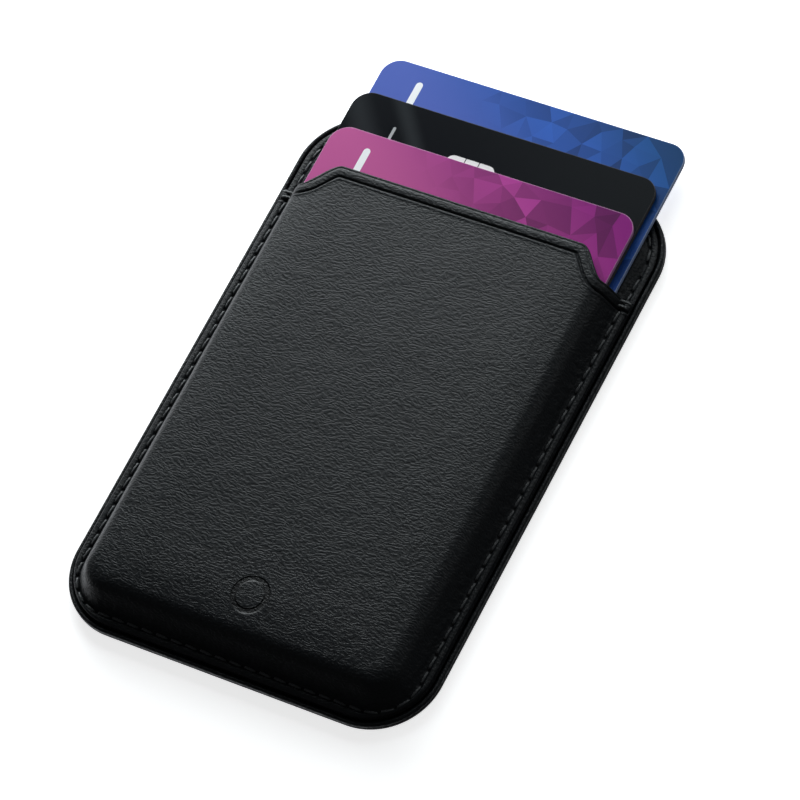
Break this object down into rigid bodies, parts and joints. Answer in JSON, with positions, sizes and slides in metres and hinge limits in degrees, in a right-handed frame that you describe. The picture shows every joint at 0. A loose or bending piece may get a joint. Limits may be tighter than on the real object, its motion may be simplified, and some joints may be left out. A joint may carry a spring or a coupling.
{
  "type": "card holder",
  "caption": "Slim leather card holder with a magnetic back and a moulded front pocket, holding stepped bank-size cards that slide out of its open end.",
  "frame": {"origin": "middle of the holder's flat back face, which lies on Z = 0; the cards reach further along +Y than the holder does", "axes": "X across the width, +Y along the length towards the open end of the pocket, +Z out of the front face"},
  "size_m": [0.0642, 0.106, 0.008],
  "materials": {
    "black_leather": "satin embossed grain",
    "black_thread": "twisted polyester thread",
    "grey_board": "pressed fibre board",
    "nickel_magnet": "nickel plated magnet",
    "steel_sheet": "thin steel sheet",
    "black_microfibre": "brushed microfibre",
    "blue_card": "printed card, satin laminate",
    "black_card": "printed card, gloss laminate",
    "magenta_card": "printed card, satin laminate",
    "chip_contact": "plated contact plate"
  },
  "bodies": {
    "holder": {"back_cover": "black_leather", "core_board": "grey_board", "ring_magnet_01": "nickel_magnet", "ring_magnet_02": "nickel_magnet", "ring_magnet_03": "nickel_magnet", "ring_magnet_04": "nickel_magnet", "ring_magnet_05": "nickel_magnet", "ring_magnet_06": "nickel_magnet", "ring_magnet_07": "nickel_magnet", "ring_magnet_08": "nickel_magnet", "ring_magnet_09": "nickel_magnet", "ring_magnet_10": "nickel_magnet", "ring_magnet_11": "nickel_magnet", "ring_magnet_12": "nickel_magnet", "ring_magnet_13": "nickel_magnet", "ring_magnet_14": "nickel_magnet", "ring_magnet_15": "nickel_magnet", "ring_magnet_16": "nickel_magnet", "alignment_magnet": "nickel_magnet", "shield_plate": "steel_sheet", "inner_panel": "black_leather", "front_panel": "black_leather", "front_lining": "black_microfibre", "front_stiffener": "grey_board", "pocket_seam_thread": "black_thread", "edge_seam_thread": "black_thread", "left_bar_tack": "black_thread", "right_bar_tack": "black_thread"},
    "rear_card": {"rear_card": "blue_card"},
    "middle_card": {"middle_card": "black_card", "middle_card_chip": "chip_contact"},
    "front_card": {"front_card": "magenta_card"}
  },
  "joints": [
    {"name": "rear_card_slide", "type": "slide", "parent": "holder", "child": "rear_card", "axis": [0, 1, 0], "range_m": [-0.014, 0.065]},
    {"name": "middle_card_slide", "type": "slide", "parent": "holder", "child": "middle_card", "axis": [0, 1, 0], "range_m": [-0.0074, 0.0725]},
    {"name": "front_card_slide", "type": "slide", "parent": "holder", "child": "front_card", "axis": [0, 1, 0], "range_m": [0, 0.08]}
  ]
}
